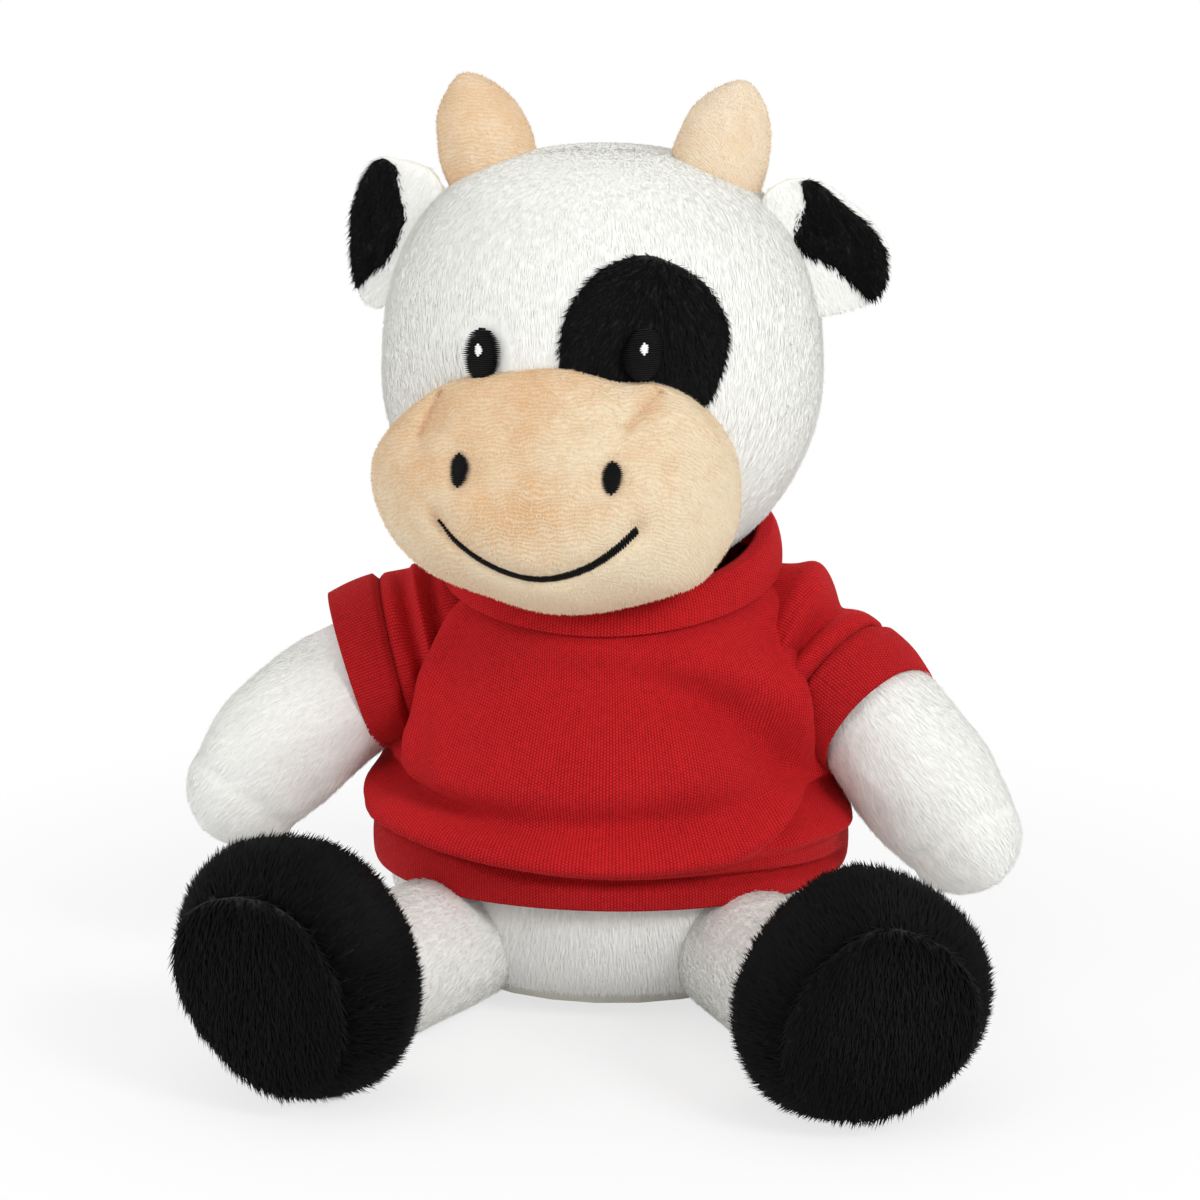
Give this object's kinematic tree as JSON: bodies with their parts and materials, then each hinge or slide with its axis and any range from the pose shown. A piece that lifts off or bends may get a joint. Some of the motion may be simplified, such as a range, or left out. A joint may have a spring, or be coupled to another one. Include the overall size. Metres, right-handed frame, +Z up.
{
  "type": "plush cow",
  "caption": "Sitting stuffed toy cow in a red knit T-shirt, with black feet, peach muzzle and horns, and limbs that swing.",
  "frame": {"origin": "middle of the flat seat that the toy rests on, under the torso", "axes": "+Z up, the toy faces -Y, its left arm points to +X"},
  "size_m": [0.1721, 0.1716, 0.1828],
  "materials": {
    "white_plush": "short white pile, combed",
    "black_plush": "black pile, longer on the feet",
    "black_sole": "black plush sole panel",
    "peach_plush": "very short peach velvet pile",
    "red_knit": "red cotton jersey",
    "red_rib": "red cotton rib",
    "black_thread": "black satin stitch",
    "white_thread": "white satin stitch",
    "filling": "white polyester filling",
    "pellet_cloth": "plain cotton bag of pellets"
  },
  "bodies": {
    "torso": {"torso_skin": "white_plush", "torso_stuffing": "filling", "pellet_bag": "pellet_cloth", "shirt_front": "red_knit", "shirt_back": "red_knit", "hem_band": "red_rib", "neckband": "red_rib"},
    "neck_root": {"neck": "white_plush"},
    "head": {"head_skin": "white_plush", "head_stuffing": "filling", "muzzle": "peach_plush", "eye_patch": "black_plush", "eye_left": "black_thread", "eye_right": "black_thread", "glint_left": "white_thread", "glint_right": "white_thread", "nostril_left": "black_thread", "nostril_right": "black_thread", "smile": "black_thread", "horn_left": "peach_plush", "horn_right": "peach_plush"},
    "tail_root": {"tail": "white_plush", "tail_tuft": "black_plush"},
    "ear_left": {"ear_front_left": "black_plush", "ear_back_left": "white_plush"},
    "arm_body_left": {"arm_left": "white_plush", "sleeve_left": "red_knit", "cuff_left": "red_rib"},
    "leg_body_left": {"leg_left": "white_plush", "foot_left": "black_plush", "sole_left": "black_sole"},
    "ear_right": {"ear_front_right": "black_plush", "ear_back_right": "white_plush"},
    "arm_body_right": {"arm_right": "white_plush", "sleeve_right": "red_knit", "cuff_right": "red_rib"},
    "leg_body_right": {"leg_right": "white_plush", "foot_right": "black_plush", "sole_right": "black_sole"}
  },
  "joints": [
    {"name": "head_turn", "type": "hinge", "parent": "torso", "child": "neck_root", "pos_m": [-0.0016, 0, 0.0786], "axis": [0, 0, 1], "range_deg": [-30, 30], "stiffness_Nm_per_rad": 0.3, "deforming": ["neckband"]},
    {"name": "head_nod", "type": "hinge", "parent": "neck_root", "child": "head", "pos_m": [-0.0016, 0, 0.084], "axis": [0.9962, -0.0872, 0], "range_deg": [-12, 6], "stiffness_Nm_per_rad": 0.6, "deforming": ["neckband"]},
    {"name": "arm_swing_left", "type": "hinge", "parent": "torso", "child": "arm_body_left", "pos_m": [0.04, -0.002, 0.0645], "axis": [1, 0, 0], "range_deg": [-60, 45], "stiffness_Nm_per_rad": 0.06},
    {"name": "arm_swing_right", "type": "hinge", "parent": "torso", "child": "arm_body_right", "pos_m": [-0.04, -0.002, 0.0645], "axis": [1, 0, 0], "range_deg": [-60, 45], "stiffness_Nm_per_rad": 0.06},
    {"name": "leg_swing_left", "type": "hinge", "parent": "torso", "child": "leg_body_left", "pos_m": [0.0275, -0.026, 0.0144], "axis": [1, 0, 0], "range_deg": [-5, 45], "stiffness_Nm_per_rad": 0.15},
    {"name": "leg_swing_right", "type": "hinge", "parent": "torso", "child": "leg_body_right", "pos_m": [-0.0275, -0.026, 0.0144], "axis": [1, 0, 0], "range_deg": [-5, 45], "stiffness_Nm_per_rad": 0.15},
    {"name": "ear_flap_left", "type": "hinge", "parent": "head", "child": "ear_left", "pos_m": [0.03778, 0.00069, 0.14867], "axis": [-0.515, -0.009, 0.8572], "range_deg": [-25, 25], "stiffness_Nm_per_rad": 0.01},
    {"name": "ear_flap_right", "type": "hinge", "parent": "head", "child": "ear_right", "pos_m": [-0.04026, 0.00751, 0.14867], "axis": [0.5056, -0.0983, 0.8572], "range_deg": [-25, 25], "stiffness_Nm_per_rad": 0.01},
    {"name": "tail_wag", "type": "hinge", "parent": "torso", "child": "tail_root", "pos_m": [0, 0.03861, 0.015], "axis": [0, 0, 1], "range_deg": [-40, 40], "stiffness_Nm_per_rad": 0.005}
  ]
}
